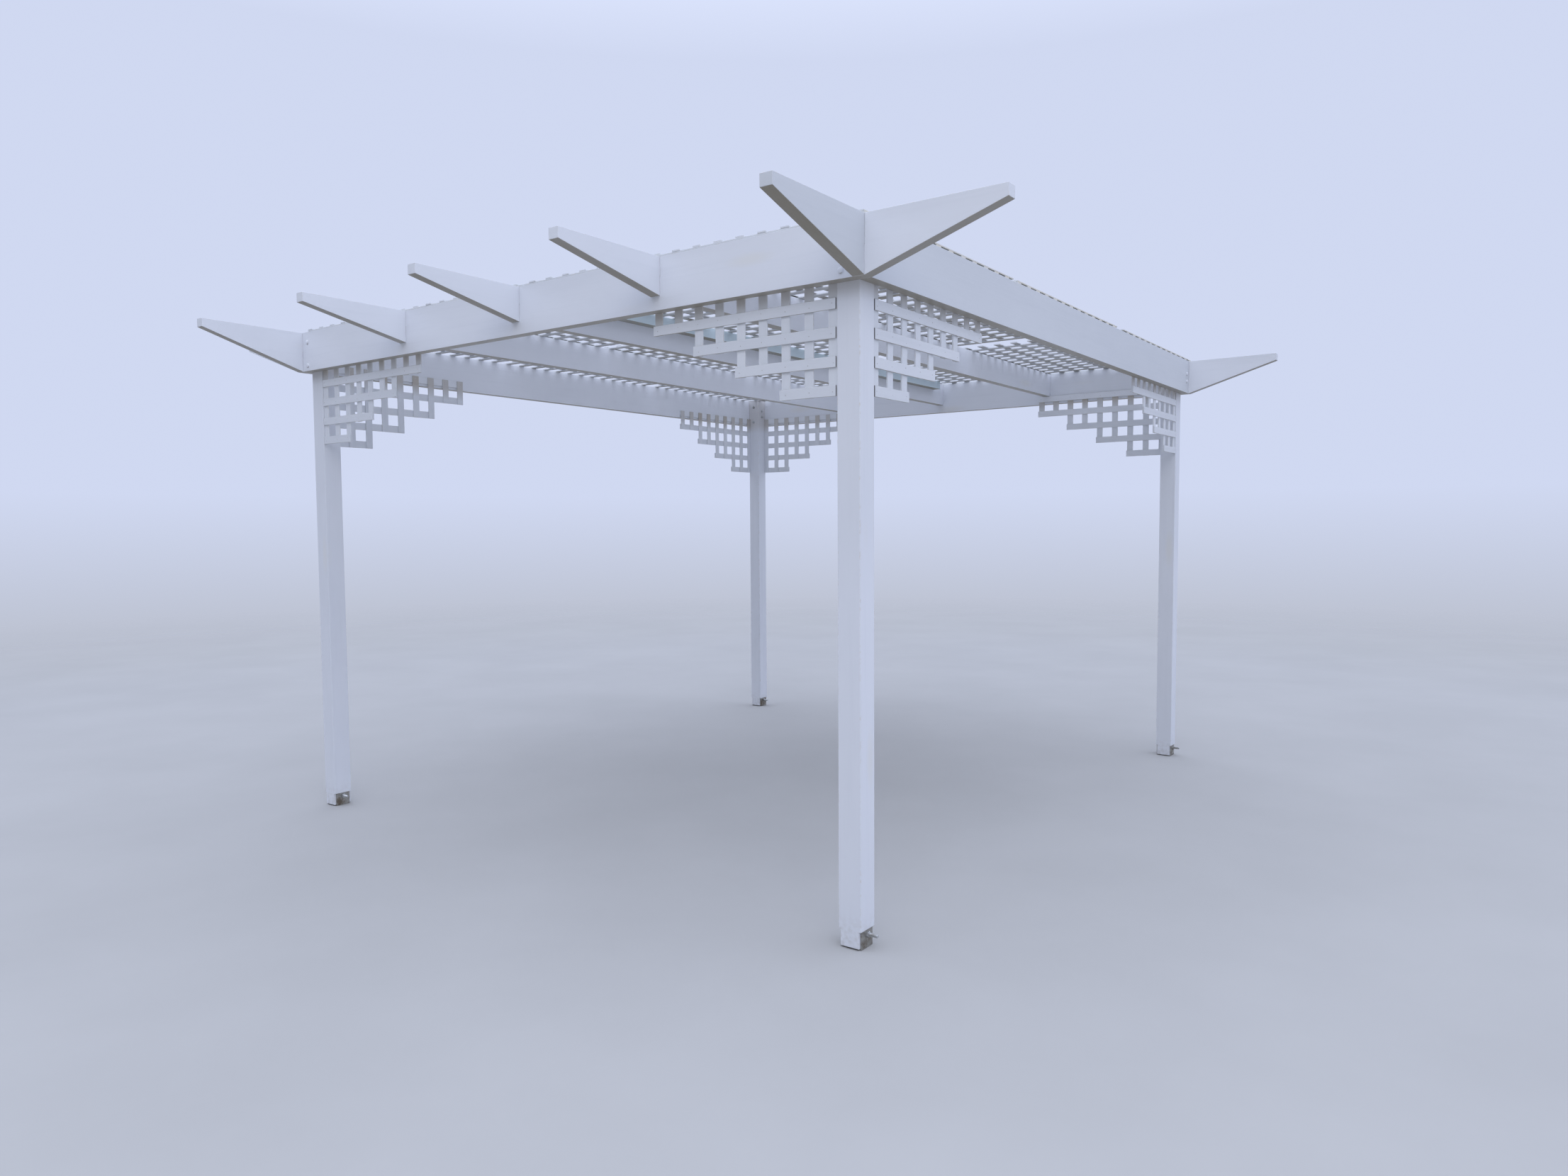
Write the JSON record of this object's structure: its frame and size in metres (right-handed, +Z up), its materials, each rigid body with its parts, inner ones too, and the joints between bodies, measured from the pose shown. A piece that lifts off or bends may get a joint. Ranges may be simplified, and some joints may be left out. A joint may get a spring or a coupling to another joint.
{
  "type": "pergola",
  "caption": "Painted timber garden pergola with square posts, tapered beam tails, a trellis roof and stepped trellis corner brackets.",
  "frame": {"origin": "middle of the plan at floor level", "axes": "+X to the right across the front, +Y from front to back, +Z up"},
  "size_m": [4.256, 4.676, 2.382],
  "materials": {
    "painted_beams": "satin",
    "painted_rafters": "satin",
    "painted_posts": "satin",
    "painted_laths": "satin",
    "primed_batten": "matte",
    "galvanised_steel": "satin"
  },
  "bodies": {
    "root": {"front_beam": "painted_beams", "back_beam": "painted_beams", "right_beam": "painted_beams", "left_beam": "painted_beams", "rafter_right": "painted_rafters", "rafter_middle": "painted_rafters", "rafter_left": "painted_rafters", "roof_batten": "primed_batten", "post_front_right": "painted_posts", "post_front_left": "painted_posts", "post_back_right": "painted_posts", "post_back_left": "painted_posts", "stirrup_front_right": "galvanised_steel", "foot_bolt_front_right": "galvanised_steel", "stirrup_front_left": "galvanised_steel", "foot_bolt_front_left": "galvanised_steel", "stirrup_back_right": "galvanised_steel", "foot_bolt_back_right": "galvanised_steel", "stirrup_back_left": "galvanised_steel", "foot_bolt_back_left": "galvanised_steel", "cross_bracket_front_right": "painted_laths", "side_bracket_front_right": "painted_laths", "cross_bracket_front_left": "painted_laths", "side_bracket_front_left": "painted_laths", "cross_bracket_back_right": "painted_laths", "side_bracket_back_right": "painted_laths", "cross_bracket_back_left": "painted_laths", "side_bracket_back_left": "painted_laths", "lower_laths_front_right": "painted_laths", "upper_laths_front_right": "painted_laths", "lower_laths_front_left": "painted_laths", "upper_laths_front_left": "painted_laths", "lower_laths_middle_right": "painted_laths", "upper_laths_middle_right": "painted_laths", "lower_laths_middle_left": "painted_laths", "upper_laths_middle_left": "painted_laths", "lower_laths_back_right": "painted_laths", "upper_laths_back_right": "painted_laths", "lower_laths_back_left": "painted_laths", "upper_laths_back_left": "painted_laths"}
  },
  "joints": []
}
